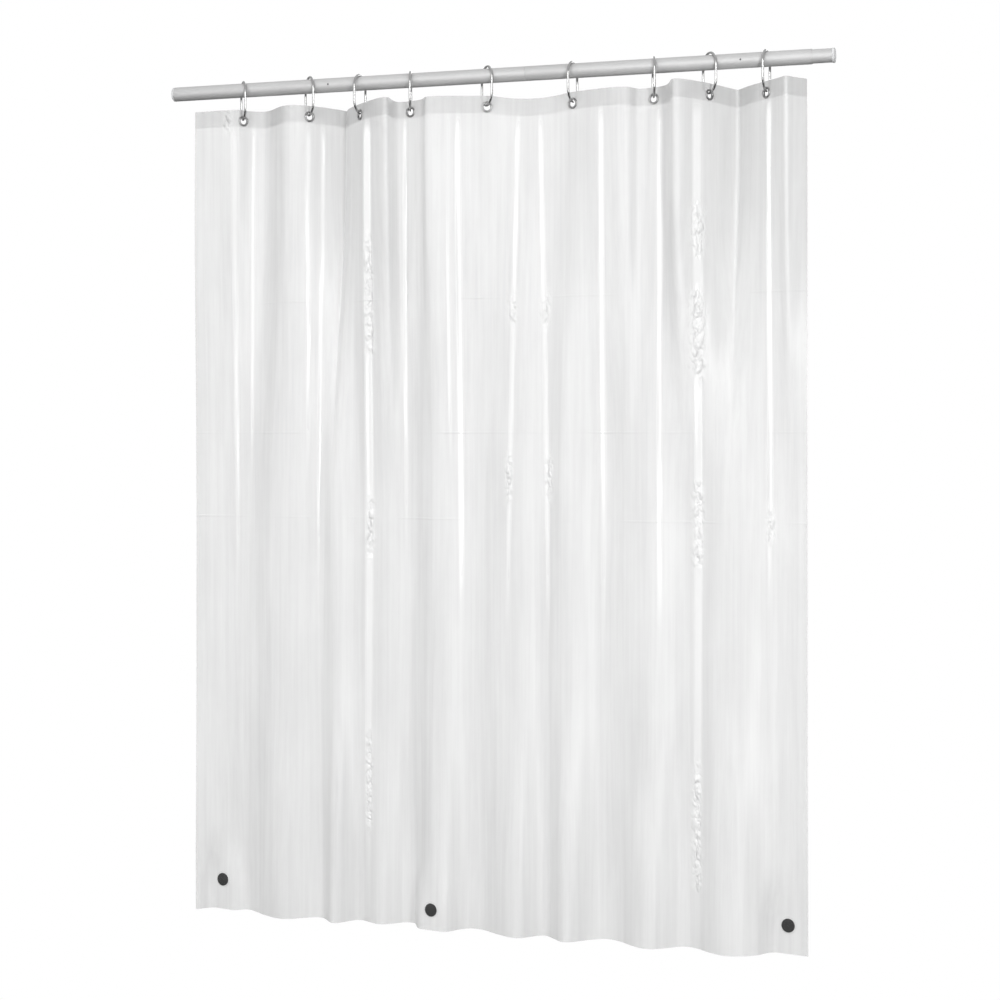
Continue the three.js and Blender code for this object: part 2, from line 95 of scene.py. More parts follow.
# Drawn folds, each with one flat flank turned to the light: share of the hung width, half
# width of the flank, the drop where it has faded, and its lean over a metre of drop.
DRAWN_FOLDS = (
    (0.070, 0.0038, 1.20, 0.000),
    (0.096, 0.0030, 0.90, 0.000),
    (0.198, 0.0038, 0.90, 0.000),
    (0.216, 0.0032, 1.20, 0.000),
    (0.308, 0.0070, 1.90, -0.006),
    (0.364, 0.0036, 1.10, -0.002),
    (0.443, 0.0028, 0.90, 0.000),
    (0.458, 0.0050, 1.30, 0.000),
    (0.550, 0.0038, 1.30, -0.016),
    (0.585, 0.0038, 1.30, 0.020),
    (0.689, 0.0048, 1.30, -0.004),
    (0.778, 0.0042, 1.30, 0.000),
    (0.840, 0.0080, 1.90, -0.005),
    (0.945, 0.0044, 1.20, 0.000),
)

# Extra slope of a flank, which the film's easing back to its course takes away again, the
# film's columns over which it eases back, and how much of the unevenness a flank loses.
FLANK_GIVE = 0.05
FLANK_EASING = 45
FLANK_CALM = 0.85

# Painted highlight: the film's colour is mixed toward this white along the drawn folds'
# flanks and in crumples, to brighten their highlights.
PAINTED_HIGHLIGHT_WHITE = (0.94, 0.94, 0.94)

# Crumpled places: share of the hung width, the drops between which they lie, and half width.
CRUMPLES = (
    (0.307, 0.30, 0.56, 0.012),
    (0.305, 0.88, 1.00, 0.010),
    (0.303, 1.40, 1.62, 0.009),
    (0.543, 0.43, 0.50, 0.010),
    (0.539, 0.78, 0.88, 0.008),
    (0.595, 0.43, 0.50, 0.010),
    (0.601, 0.78, 0.88, 0.008),
    (0.839, 0.26, 0.36, 0.012),
    (0.838, 0.44, 0.62, 0.014),
    (0.836, 0.84, 1.02, 0.012),
    (0.834, 1.44, 1.70, 0.010),
    (0.945, 0.90, 0.96, 0.008),
    (0.060, 0.005, 0.05, 0.010),
)

# Creases left by the folded pack, as drops below the header's top edge.
PACK_CREASES = (0.440, 0.735, 0.925)
CREASE_HALF = 0.003

# How far from their centres eyelets and magnets keep the film calm.
EYELET_CALM = 0.016
MAGNET_CALM = 0.05


def corners(node):
    low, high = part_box(node)
    return Vector(low), Vector(high)


def middle(node):
    low, high = corners(node)
    return (low + high) / 2


FILM_LOW, FILM_HIGH = corners("liner_film")
LEFT_EDGE, RIGHT_EDGE = FILM_LOW.x, FILM_HIGH.x
HUNG_WIDTH = RIGHT_EDGE - LEFT_EDGE
RING_AT = [middle(f"ring_{i + 1}") for i in range(RING_COUNT)]
HOLE_Z = [middle(f"eyelet_{i + 1}").z for i in range(RING_COUNT)]
MAGNET_AT = [middle(f"magnet_{i + 1}") for i in range(MAGNET_COUNT)]
FILM_TOP = min(HOLE_Z) + HOLE_DROP
HOLE_PITCH = (CUT_WIDTH - 2 * EDGE_MARGIN) / (RING_COUNT - 1)
ROD_RADIUS = corners("outer_tube")[1].z
INNER_RADIUS = corners("inner_tube")[1].z
FLANGE_RADIUS = (corners("eyelet_1")[1].z - corners("eyelet_1")[0].z) / 2
WIRE_RADIUS = 0.00275
HALF_FLAT = FLANGE_RADIUS + 0.0005


# -------------------------------------------------------------- node tools


class Shade:
    """Short calls for building one node tree."""

    def __init__(self, tree):
        self.tree = tree

    def add(self, kind, links=None, **values):
        node = self.tree.nodes.new(kind)
        for name, value in values.items():
            setattr(node, name, value)
        for name, value in (links or {}).items():
            socket = node.inputs[name]
            if isinstance(value, bpy.types.NodeSocket):
                self.tree.links.new(value, socket)
            else:
                socket.default_value = value
        return node

    def place(self, scale, turn=(0, 0, 0)):
        coords = self.add("ShaderNodeTexCoord").outputs["Object"]
        links = {"Vector": coords, "Scale": scale, "Rotation": turn}
        return self.add("ShaderNodeMapping", links).outputs["Vector"]

    def noise(self, vector, scale, detail=3.0, rough=0.5):
        links = {"Vector": vector, "Scale": scale, "Detail": detail, "Roughness": rough}
        return self.add("ShaderNodeTexNoise", links).outputs["Fac"]

    def ramp(self, factor, stops):
        node = self.add("ShaderNodeValToRGB", {"Fac": factor})
        elements = node.color_ramp.elements
        while len(elements) < len(stops):
            elements.new(0.5)
        for element, (place, colour) in zip(elements, stops):
            element.position = place
            element.color = (*colour, 1)
        return node.outputs["Color"]

    def span(self, value, low, high):
        links = {"Value": value, "To Min": low, "To Max": high}
        return self.add("ShaderNodeMapRange", links).outputs["Result"]

    def math(self, operation, first, second):
        return self.add("ShaderNodeMath", {0: first, 1: second}, operation=operation).outputs[0]

    def group(self, tree, **values):
        node = self.tree.nodes.new("ShaderNodeGroup")
        node.node_tree = tree
        for name, value in values.items():
            socket = node.inputs[name.replace("_", " ")]
            if isinstance(value, bpy.types.NodeSocket):
                self.tree.links.new(value, socket)
            else:
                socket.default_value = value
        return node.outputs


def new_group(name, inputs, outputs):
    tree = bpy.data.node_groups.new(name, "ShaderNodeTree")
    for label, kind, value in inputs:
        socket = tree.interface.new_socket(label, in_out="INPUT", socket_type=kind)
        if value is not None:
            socket.default_value = value
    for label, kind in outputs:
        tree.interface.new_socket(label, in_out="OUTPUT", socket_type=kind)
    shade = Shade(tree)
    return shade, shade.add("NodeGroupInput").outputs, shade.add("NodeGroupOutput").inputs


def surface_group():
    """Fine grain stretched along one direction: a roughness, a tint between two colours, and
    a normal."""
    shade, given, result = new_group(
        "surface_grain",
        (
            ("Vector", "NodeSocketVector", None),
            ("Scale", "NodeSocketFloat", 200.0),
            ("Dark", "NodeSocketColor", (0.5, 0.5, 0.5, 1)),
            ("Light", "NodeSocketColor", (0.7, 0.7, 0.7, 1)),
            ("Smoothest", "NodeSocketFloat", 0.3),
            ("Roughest", "NodeSocketFloat", 0.4),
            ("Relief", "NodeSocketFloat", 0.0002),
        ),
        (("Color", "NodeSocketColor"), ("Roughness", "NodeSocketFloat"), ("Normal", "NodeSocketVector")),
    )
    fine = shade.noise(given["Vector"], given["Scale"], 5.0, 0.6)
    coarse_scale = shade.math("MULTIPLY", given["Scale"], 0.07)
    coarse = shade.noise(given["Vector"], coarse_scale, 3.0)
    both = shade.math("MULTIPLY", shade.math("ADD", fine, coarse), 0.5)
    clear = shade.span(both, 0.0, 1.0)
    clear.node.inputs["From Min"].default_value = 0.3
    clear.node.inputs["From Max"].default_value = 0.7
    tint = shade.add("ShaderNodeMix", {"Factor": clear}, data_type="RGBA")
    shade.tree.links.new(given["Dark"], tint.inputs[6])
    shade.tree.links.new(given["Light"], tint.inputs[7])
    shade.tree.links.new(tint.outputs[2], result["Color"])
    shade.tree.links.new(shade.span(clear, given["Smoothest"], given["Roughest"]), result["Roughness"])
    bump = shade.add("ShaderNodeBump", {"Height": both, "Distance": given["Relief"]})
    shade.tree.links.new(bump.outputs["Normal"], result["Normal"])
    return shade.tree


SURFACE = surface_group()


def material(name, metallic=0.0, specular=0.5, **plain):
    made = bpy.data.materials.new(name)
    made.use_nodes = True
    made.node_tree.nodes.clear()
    shade = Shade(made.node_tree)
    body = shade.add("ShaderNodeBsdfPrincipled", {"Metallic": metallic, "Specular IOR Level": specular})
    for socket, value in plain.items():
        body.inputs[socket.replace("_", " ")].default_value = value
    out = shade.add("ShaderNodeOutputMaterial")
    made.node_tree.links.new(body.outputs["BSDF"], out.inputs["Surface"])
    return made, shade, body


def join(shade, outputs, body, *names):
    for name in names:
        target = {"Color": "Base Color"}.get(name, name)
        shade.tree.links.new(outputs[name], body.inputs[target])


def grained(name, stretch, scale, dark, light, smoothest, roughest, relief, **plain):
    made, shade, body = material(name, **plain)
    outputs = shade.group(
        SURFACE,
        Vector=shade.place(stretch),
        Scale=scale,
        Dark=(*dark, 1),
        Light=(*light, 1),
        Smoothest=smoothest,
        Roughest=roughest,
        Relief=relief,
    )
    join(shade, outputs, body, "Color", "Roughness", "Normal")
    return made


def satin_steel():
    grey = (0.56, 0.56, 0.56), (0.66, 0.66, 0.66)
    return grained("satin_steel", (0.12, 1, 1), 700, *grey, 0.46, 0.58, 0.00003, metallic=0.35)


def bright_wire():
    grey = (0.46, 0.46, 0.46), (0.58, 0.58, 0.58)
    return grained("bright_wire", (1, 1, 1), 400, *grey, 0.12, 0.22, 0.00002, metallic=1.0)


def rolled_metal():
    grey = (0.28, 0.28, 0.28), (0.40, 0.40, 0.40)
    return grained("rolled_metal", (1, 1, 1), 700, *grey, 0.22, 0.36, 0.00003, metallic=1.0)


def plain_steel():
    grey = (0.10, 0.10, 0.105), (0.17, 0.17, 0.175)
    return grained("plain_steel", (1, 1, 1), 900, *grey, 0.35, 0.5, 0.00003, metallic=0.8)


def foot_plastic():
    grey = (0.70, 0.705, 0.71), (0.76, 0.765, 0.77)
    return grained("foot_plastic", (1, 1, 1), 1500, *grey, 0.45, 0.6, 0.00004)


def lock_plastic():
    grey = (0.06, 0.06, 0.065), (0.09, 0.09, 0.095)
    return grained("lock_plastic", (1, 1, 1), 1200, *grey, 0.4, 0.55, 0.00004)


def magnet_face():
    grey = (0.006, 0.006, 0.006), (0.014, 0.014, 0.014)
    return grained("magnet_face", (1, 1, 1), 1100, *grey, 0.38, 0.55, 0.00006, specular=0.3)


def pack_creases(shade):
    """Height of the pack's level creases, strong in some places and lost in others."""
    level = shade.add("ShaderNodeSeparateXYZ", {"Vector": shade.place((1, 1, 1))}).outputs["Z"]
    height = 0.0
    for drop in PACK_CREASES:
        away = shade.math("ABSOLUTE", shade.math("ADD", level, drop - FILM_TOP), 0)
        near = shade.math("SUBTRACT", 1.0, shade.math("DIVIDE", away, CREASE_HALF))
        height = shade.math("ADD", height, shade.math("MAXIMUM", near, 0.0))
    patch = shade.span(shade.noise(shade.place((1, 1, 1)), 7, 2.0), -0.2, 1.2)
    patch.node.inputs["From Min"].default_value = 0.35
    patch.node.inputs["From Max"].default_value = 0.65
    return shade.math("MULTIPLY", height, shade.math("MAXIMUM", patch, 0.0))


def film_plastic(name, light, dark, alpha):
    """Frosted film: a faint cloudiness, long drawn streaks, a fine pebbled face, the pack's
    creases, and by the mesh's masks glossier drawn folds and sharp little crumples, whose
    colour is mixed toward white as a painted highlight."""
    made, shade, body = material(name, specular=0.8, Alpha=alpha, IOR=1.5)
    cloud = shade.noise(shade.place((1, 1, 0.35)), 9, 4.0, 0.55)
    streak = shade.noise(shade.place((1, 1, 0.02)), 90, 4.0, 0.65)
    tone = shade.math("MULTIPLY", shade.math("ADD", cloud, streak), 0.5)
    colour = shade.ramp(tone, ((0.36, (dark,) * 3), (0.64, (light,) * 3)))
    flank = shade.add("ShaderNodeAttribute", attribute_name="drawn").outputs["Fac"]
    mask = shade.add("ShaderNodeAttribute", attribute_name="crumple").outputs["Fac"]
    # Painted highlight: colour mixed toward white on drawn-fold flanks and crumples.
    highlight_paint = shade.math("MULTIPLY", shade.math("MAXIMUM", flank, mask), 0.75)
    highlight_mix = shade.add("ShaderNodeMix", {"Factor": highlight_paint}, data_type="RGBA")
    shade.tree.links.new(colour, highlight_mix.inputs[6])
    highlight_mix.inputs[7].default_value = (*PAINTED_HIGHLIGHT_WHITE, 1)
    shade.tree.links.new(highlight_mix.outputs[2], body.inputs["Base Color"])
    pebble = shade.noise(shade.place((1, 1, 1)), 900, 3.0, 0.6)
    rough = shade.math("MULTIPLY", shade.math("ADD", streak, pebble), 0.5)
    gloss = shade.math("MAXIMUM", flank, shade.math("MULTIPLY", mask, 0.8))
    links = {"Factor": gloss, "A": shade.span(rough, 0.34, 0.46), "B": 0.13}
    shade.tree.links.new(shade.add("ShaderNodeMix", links).outputs["Result"], body.inputs["Roughness"])
    drawn = shade.math("ADD", shade.math("MULTIPLY", pebble, 0.1), streak)
    lines = shade.add("ShaderNodeBump", {"Height": drawn, "Distance": 0.00014})
    levels = {"Height": pack_creases(shade), "Distance": 0.0006, "Normal": lines.outputs["Normal"]}
    creased = shade.add("ShaderNodeBump", levels)
    wrinkle = shade.noise(shade.place((1, 1, 0.6), (0, 0.5, 0)), 60, 2.0, 0.5)
    sharp = shade.math("ABSOLUTE", shade.math("SUBTRACT", wrinkle, 0.5), 0)
    crumpled = shade.math("MULTIPLY", sharp, mask)
    links = {"Height": crumpled, "Distance": 0.026, "Normal": creased.outputs["Normal"]}
    bump = shade.add("ShaderNodeBump", links)
    shade.tree.links.new(bump.outputs["Normal"], body.inputs["Normal"])
    return made


SATIN = satin_steel()
WIRE = bright_wire()
ROLLED = rolled_metal()
STEEL = plain_steel()
FOOT = foot_plastic()
LOCK = lock_plastic()
MAGNET = magnet_face()
FILM = film_plastic("frosted_film", 0.80, 0.69, 0.45)
BAND = film_plastic("header_film", 0.76, 0.68, 0.36)
POCKET = film_plastic("pocket_film", 0.80, 0.74, 0.025)


# -------------------------------------------------------------- mesh tools


def to_object(bm, name, finish, smooth=35):
    mesh = bpy.data.meshes.new(name)
    bm.to_mesh(mesh)
    bm.free()
    mesh.materials.append(finish)
    mesh.polygons.foreach_set("use_smooth", [True] * len(mesh.polygons))
    mesh.set_sharp_from_angle(angle=math.radians(smooth))
    piece = bpy.data.objects.new(name, mesh)
    bpy.context.scene.collection.objects.link(piece)
    return piece


def keep(piece, body, slot, *nodes):
    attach(piece, body)
    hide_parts(*nodes)
    return piece


def stretch_of(points, closed):
    pairs = list(zip(points, points[1:]))
    return pairs + [(points[-1], points[0])] if closed else pairs


def spun(profile, sides, closed=False):
    """A body of revolution about X from (radius, along) points."""
    bm = bmesh.new()
    verts = [bm.verts.new((along, 0, radius)) for radius, along in profile]
    edges = [bm.edges.new(pair) for pair in stretch_of(verts, closed)]
    bmesh.ops.spin(
        bm,
        geom=verts + edges,
        cent=(0, 0, 0),
        axis=(1, 0, 0),
        angle=math.tau,
        steps=sides,
        use_merge=True,
    )
    bmesh.ops.remove_doubles(bm, verts=bm.verts, dist=1e-6)
    bmesh.ops.recalc_face_normals(bm, faces=bm.faces)
    return bm


def rounded(profile, closed, radius, steps=3):
    """The profile with each of its corners rounded, except where it meets the axis."""
    count = len(profile)
    points = []
    for index, (r, a) in enumerate(profile):
        at_end = not closed and index in (0, count - 1)
        before = Vector(profile[index - 1])
        here = Vector((r, a))
        after = Vector(profile[(index + 1) % count])
        if at_end:
            points.append((r, a))
            continue
        cut = min(radius, 0.4 * (before - here).length, 0.4 * (after - here).length)
        start = here + (before - here).normalized() * cut
        end = here + (after - here).normalized() * cut
        for step in range(steps + 1):
            t = step / steps
            point = start.lerp(here, t).lerp(here.lerp(end, t), t)
            points.append((point.x, point.y))
    return points


def turned(name, profile, finish, sides=48, closed=False, edge=0.0004, move=None):
    bm = spun(rounded(profile, closed, edge), sides, closed)
    if move is not None:
        bmesh.ops.transform(bm, matrix=move, verts=bm.verts)
    return to_object(bm, name, finish)


def facing(x, y, z, degrees):
    """Turns the X axis to the front, then by an angle about the vertical, and moves it."""
    turn = Matrix.Rotation(math.radians(degrees - 90), 4, "Z")
    return Matrix.Translation((x, y, z)) @ turn


# ------------------------------------------------------------------- stage


CAMERA_AT = (2.172, -4.1455, -0.787)
CAMERA_TURN = 18.4
STRIP_AT = (3.2, -3.0, -0.7)
FLOOR_SIZE = 12
FLOOR_DROP = 0.15


def camera():
    data = bpy.data.cameras.new("camera")
    data.lens = 72
    data.sensor_width = 36
    data.shift_y = -0.0645
    data.clip_end = 50
    made = bpy.data.objects.new("camera", data)
    made.location = CAMERA_AT
    aim = Vector((0, 1, 0))
    aim.rotate(Matrix.Rotation(math.radians(CAMERA_TURN), 3, "Z"))
    made.rotation_euler = aim.to_track_quat("-Z", "Y").to_euler()
    bpy.context.scene.collection.objects.link(made)
    bpy.context.scene.camera = made


def area_light(name, place, width, height, watts):
    """A soft light turned to the middle of the liner."""
    data = bpy.data.lights.new(name, "AREA")
    data.shape = "RECTANGLE"
    data.size = width
    data.size_y = height
    data.energy = watts
    made = bpy.data.objects.new(name, data)
    made.location = place
    aim = Vector((0.76, 0, -0.9)) - Vector(place)
    made.rotation_euler = aim.to_track_quat("-Z", "Y").to_euler()
    made.visible_camera = False
    bpy.context.scene.collection.objects.link(made)


def sky():
    """White to look at, and darker from below for what it lights."""
    world = bpy.data.worlds.new("studio")
    bpy.context.scene.world = world
    world.use_nodes = True
    tree = world.node_tree
    tree.nodes.clear()
    shade = Shade(tree)
    direction = shade.add("ShaderNodeTexCoord").outputs["Generated"]
    height = shade.add("ShaderNodeSeparateXYZ", {"Vector": direction}).outputs["Z"]
    share = shade.span(height, 0.0, 1.0)
    share.node.inputs["From Min"].default_value = -1.0
    greys = ((0.0, 0.06), (0.40, 0.20), (0.56, 0.70), (1.0, 1.0))
    light = shade.ramp(share, [(place, (grey,) * 3) for place, grey in greys])
    seen = shade.add("ShaderNodeBackground", {"Color": (1, 1, 1, 1), "Strength": 1.0})
    felt = shade.add("ShaderNodeBackground", {"Color": light, "Strength": 0.72})
    camera_ray = shade.add("ShaderNodeLightPath").outputs["Is Camera Ray"]
    both = shade.add("ShaderNodeMixShader", {0: camera_ray, 1: felt.outputs[0], 2: seen.outputs[0]})
    shade.add("ShaderNodeOutputWorld", {"Surface": both.outputs[0]})


def floor():
    """A plain white floor, which the camera sees and which lights nothing."""
    bm = bmesh.new()
    bmesh.ops.create_grid(bm, x_segments=1, y_segments=1, size=FLOOR_SIZE / 2)
    bmesh.ops.translate(bm, verts=bm.verts, vec=(0, 0, FILM_LOW.z - FLOOR_DROP))
    white = bpy.data.materials.new("white_floor")
    white.use_nodes = True
    white.node_tree.nodes.clear()
    shade = Shade(white.node_tree)
    glow = shade.add("ShaderNodeEmission", {"Color": (1, 1, 1, 1), "Strength": 1.0})
    shade.add("ShaderNodeOutputMaterial", {"Surface": glow.outputs[0]})
    made = to_object(bm, "floor", white)
    made.visible_diffuse = False
    made.visible_glossy = False
    made.visible_transmission = False
    made.visible_shadow = False


def studio():
    bpy.context.scene.view_settings.view_transform = "Standard"
    sky()
    floor()
    area_light("wide_front", (0.5, -3.6, 0.1), 3.0, 3.0, 58)
    area_light("strip_right", STRIP_AT, 0.5, 3.6, 72)
    area_light("strip_left", (-1.9, -2.4, -0.7), 0.3, 3.2, 17)
    area_light("wide_back", (0.76, 2.8, 0.2), 3.2, 2.4, 45)


# --------------------------------------------------------- the film's shape


def curve_points(start, end, reach, hold):
    """A cubic curve between two places, leaving and arriving by their turns."""
    leave = np.array([math.cos(start["turn"]), math.sin(start["turn"])])
    arrive = np.array([math.cos(end["turn"]), math.sin(end["turn"])])
    p0, p3 = np.array(start["at"]), np.array(end["at"])
    p1 = p0 + leave * reach * hold[0]
    p2 = p3 - arrive * reach * hold[1]
    t = np.linspace(0, 1, 241)[:, None]
    return (1 - t) ** 3 * p0 + 3 * (1 - t) ** 2 * t * p1 + 3 * (1 - t) * t**2 * p2 + t**3 * p3


def arc(points):
    return np.concatenate([[0], np.cumsum(np.linalg.norm(np.diff(points, axis=0), axis=1))])


BAY_ROUNDING = 36
HEADER_EASING = 44


def eased(places, reach):
    """Places along a line evened out over a reach of its points, with both ends kept."""
    steps = np.arange(-reach, reach + 1)
    weights = np.exp(-((steps / (0.5 * reach)) ** 2))
    ends = (2 * places[0] - places[reach:0:-1], 2 * places[-1] - places[-2 : -reach - 2 : -1])
    wide = np.concatenate([ends[0], places, ends[1]])
    return np.convolve(wide, weights / weights.sum(), mode="valid")


def bay(start, end, length, hold, steps):
    """The film between two eyelets, seen from above, drawn out until it has its length."""
    low, high = 0.0, 2 * length
    for _ in range(30):
        reach = (low + high) / 2
        sharp = curve_points(start, end, reach, hold)
        points = np.stack([eased(sharp[:, axis], BAY_ROUNDING) for axis in (0, 1)], axis=1)
        if arc(points)[-1] < length:
            low = reach
        else:
            high = reach
    along = arc(points)
    wanted = np.linspace(0, along[-1], steps + 1)[1:-1]
    x, y = (np.interp(wanted, along, points[:, axis]) for axis in (0, 1))
    slope = np.gradient(points, axis=0)
    turn = np.interp(wanted, along, np.arctan2(slope[:, 1], slope[:, 0]))
    return x, y, turn


def ring_rise(index):
    return HOLE_Z[index] - min(HOLE_Z)


FLAT_STEPS = 8
BAY_STEPS = 52
MARGIN_STEPS = 28


def stop(at, turn, hanger, rise):
    """A place that the header passes: its turn, how firmly it is held, its rise and its sag."""
    return dict(at=np.array(at), turn=turn, hold=hanger["hold"], rise=rise, sag=hanger["sag"])


def header_line():
    """Columns of the film from left to right: x, y, turn, rise and cut width so far."""
    stops = []
    for index, hanger in enumerate(HANGERS):
        angle = math.radians(hanger["film"])
        reach = np.array([math.cos(angle), math.sin(angle)]) * HALF_FLAT
        centre = np.array([RING_AT[index].x, 0.0])
        for side in (-1, 1):
            stops.append(stop(centre + side * reach, angle, hanger, ring_rise(index)))
    free = dict(hold=1.0, sag=0.0)
    left = stop((LEFT_EDGE, stops[0]["at"][1]), 0.0, free, stops[0]["rise"])
    right = stop((RIGHT_EDGE, 0.0), math.radians(45), free, stops[-1]["rise"])
    stops = [left, *stops, right]
    columns = [(left["at"][0], left["at"][1], left["turn"], left["rise"], 0.0)]
    cut = 0.0
    for number, (start, end) in enumerate(zip(stops, stops[1:])):
        flat = number % 2 == 1
        margin = number in (0, len(stops) - 2)
        steps = FLAT_STEPS if flat else MARGIN_STEPS if margin else BAY_STEPS
        if flat:
            length = 2 * HALF_FLAT
        elif margin:
            length = EDGE_MARGIN - HALF_FLAT
        else:
            length = HOLE_PITCH - 2 * HALF_FLAT
        share = np.arange(1, steps) / steps
        if flat:
            x, y = (start["at"] + share[:, None] * (end["at"] - start["at"])).T
            turn = np.full(steps - 1, start["turn"])
        else:
            x, y, turn = bay(start, end, length, (start["hold"], end["hold"]), steps)
        rise = start["rise"] + share * (end["rise"] - start["rise"])
        if not flat:
            rise = rise - start["sag"] * np.sin(math.pi * share)
        columns += list(zip(x, y, turn, rise, cut + share * length))
        cut += length
        columns.append((end["at"][0], end["at"][1], end["turn"], end["rise"], cut))
    return np.array(columns)


COLUMNS = header_line()
COL_X, COL_Y, COL_TURN, COL_RISE, COL_CUT = COLUMNS.T


EASED_X = eased(COL_X, HEADER_EASING)


def film_rows():
    """Drops of the film's rows: close in the header, and on both sides of its weld."""
    zones = ((0.0, 0.0952, 28), (0.0952, 0.35, 10), (0.35, 1.0, 26), (1.0, DROP, 22))
    rows = np.concatenate([np.linspace(a, b, n, endpoint=False) for a, b, n in zones] + [[DROP]])
    weld = np.abs(rows - HEADER_HEIGHT).argmin()
    rows[weld] = HEADER_HEIGHT
    rows[weld - 1] = HEADER_HEIGHT - 0.0016
    rows[weld + 1] = HEADER_HEIGHT + 0.0016
    return rows


ROWS = film_rows()


def smoothstep(value, low, high):
    t = np.clip((value - low) / (high - low), 0, 1)
    return t * t * (3 - 2 * t)


def bell(value, width):
    return np.exp(-((value / width) ** 2))


def hem_wave(x):
    """Depth of the bottom edge's waves at x."""
    share = np.clip((x - LEFT_EDGE) / HUNG_WIDTH, 0, 1)
    places = np.array([place for place, depth in HEM_CRESTS])
    depths = np.array([depth for place, depth in HEM_CRESTS]) * HEM_WAVE
    after = np.clip(np.searchsorted(places, share), 1, len(places) - 1)
    start, end = places[after - 1], places[after]
    blend = (1 - np.cos(math.pi * (share - start) / (end - start))) / 2
    return depths[after - 1] + (depths[after] - depths[after - 1]) * blend


def magnet_plane(index, x):
    at = MAGNET_AT[index]
    stand_off = 0.0015
    slope = math.tan(math.radians(MAGNET_YAW))
    y = at.y + stand_off * math.cos(math.radians(MAGNET_YAW))
    centre_x = at.x - stand_off * math.sin(math.radians(MAGNET_YAW))
    return y + slope * (x - centre_x)


def away_from_eyelets(cut, z):
    """0 on the eyelets, 1 well clear of them."""
    clear = np.ones_like(cut)
    for index in range(RING_COUNT):
        at = EDGE_MARGIN + index * HOLE_PITCH
        distance = np.hypot(cut - at, z - HOLE_Z[index])
        clear *= smoothstep(distance, FLANGE_RADIUS + 0.001, FLANGE_RADIUS + EYELET_CALM)
    return clear


def away_from_magnets(x, z):
    clear = np.ones_like(x)
    for at in MAGNET_AT:
        distance = np.hypot(x - at.x, z - at.z)
        clear *= smoothstep(distance, 0.022, MAGNET_CALM)
    return clear


def toward_light(x):
    """Turn of the film at x that throws the right-hand strip light back at the camera."""
    to_camera = np.arctan2(CAMERA_AT[0] - x, -CAMERA_AT[1])
    to_strip = np.arctan2(STRIP_AT[0] - x, -STRIP_AT[1])
    return (to_camera + to_strip) / 2


def flank_mask(x, drop):
    """1 on the flat flank of a drawn fold, 0 away from them."""
    flank = np.zeros_like(x)
    for place, half, fade, lean in DRAWN_FOLDS:
        away = np.abs(x - LEFT_EDGE - place * HUNG_WIDTH - lean * drop)
        strength = smoothstep(drop, 0.02, 0.08) * (1 - smoothstep(drop, 0.6 * fade, fade))
        flank = np.maximum(flank, strength * (1 - smoothstep(away, 0.6 * half, 1.4 * half)))
    return flank


def drawn_folds(x, y, drop):
    """Depth to add so that each drawn fold's flank is flat and turned to the light."""
    step = np.diff(x, axis=1, prepend=x[:, :1])
    climb = np.diff(y, axis=1, prepend=y[:, :1])
    slope = np.clip(climb / np.where(step > 1e-5, step, 1e-5), -1.5, 1.5)
    flank = flank_mask(x, drop)
    wanted = np.tan(toward_light(x)) + FLANK_GIVE
    rise = np.cumsum(flank * (wanted - slope) * np.maximum(step, 0), axis=1)
    steps = np.arange(-FLANK_EASING, FLANK_EASING + 1)
    weights = np.exp(-((steps / 20) ** 2))
    wide = np.pad(rise, ((0, 0), (FLANK_EASING, FLANK_EASING)), mode="edge")
    slow = np.array([np.convolve(row, weights / weights.sum(), mode="valid") for row in wide])
    return rise - slow


def soft_noise(across, drop):
    """Slow unevenness and finer flutes, all drawn out downwards."""
    out = np.empty(across.shape)
    for index in np.ndindex(across.shape):
        c, d = across[index], drop[index]
        slow = noise.noise(Vector((c * 14, d * 1.6, 1.7)))
        flute = noise.noise(Vector((c * 46, d * 1.1, 5.1)))
        fine = noise.noise(Vector((c * 110, d * 1.7, 8.4)))
        fold = abs(noise.noise(Vector((c * 24 + d * 1.5, d * 2.4, 9.3))))
        out[index] = 0.0030 * slow + 0.0007 * flute + 0.00012 * fine - 0.0016 * fold
    return out


def crumple_mask(x, drop):
    """1 where the film is crumpled, 0 elsewhere."""
    mask = np.zeros_like(x)
    for place, low, high, width in CRUMPLES:
        down = smoothstep(drop, low - 0.02, low + 0.02) * (1 - smoothstep(drop, high - 0.02, high + 0.02))
        across = bell(x - LEFT_EDGE - place * HUNG_WIDTH, width)
        mask = np.maximum(mask, down * across)
    return mask


def hang(rows, offset=0.0):
    """Places of the film's grid: an array of rows by columns by x, y and z."""
    drop = np.repeat(rows[:, None], len(COL_X), axis=1)
    share = smoothstep(drop, 1.5 * HEADER_HEIGHT, FOLDS_END * DROP)
    x = COL_X + (EASED_X - COL_X) * share
    top_y = np.repeat(COL_Y[None, :], len(rows), axis=0)
    cut = np.repeat(COL_CUT[None, :], len(rows), axis=0)
    growth = smoothstep(drop, WAVES_START * DROP, DROP)
    waves = share * (MIDDLE_WAVES + (1 - MIDDLE_WAVES) * growth)
    y = top_y * (1 - share) + hem_wave(x) * waves
    lift = (COL_RISE[None, :] - FOLD_LIFT * top_y) * (1 - drop / DROP)
    z = FILM_TOP - drop + lift
    for index, at in enumerate(MAGNET_AT):
        hold = 1 - smoothstep(np.hypot(x - at.x, np.maximum(z - at.z, 0) * 0.6), 0.022, 0.06)
        y += (magnet_plane(index, x) - y) * hold
    across = cut + ((x - LEFT_EDGE) * CUT_WIDTH / HUNG_WIDTH - cut) * share
    clear = away_from_eyelets(cut, z) * away_from_magnets(x, z)
    y += drawn_folds(x, y, drop) * clear
    relief = soft_noise(across, drop) * smoothstep(drop, 0.0, 0.12) * clear
    relief *= 1 - FLANK_CALM * flank_mask(x, drop)
    turn = np.arctan2(np.gradient(y, axis=1), np.gradient(x, axis=1))
    on_flat = away_from_eyelets(cut, z) < 0.001
    turn = np.where(on_flat, np.repeat(COL_TURN[None, :], len(rows), axis=0), turn)
    push = offset - relief
    return np.stack([x + push * np.sin(turn), y - push * np.cos(turn), z], axis=-1)


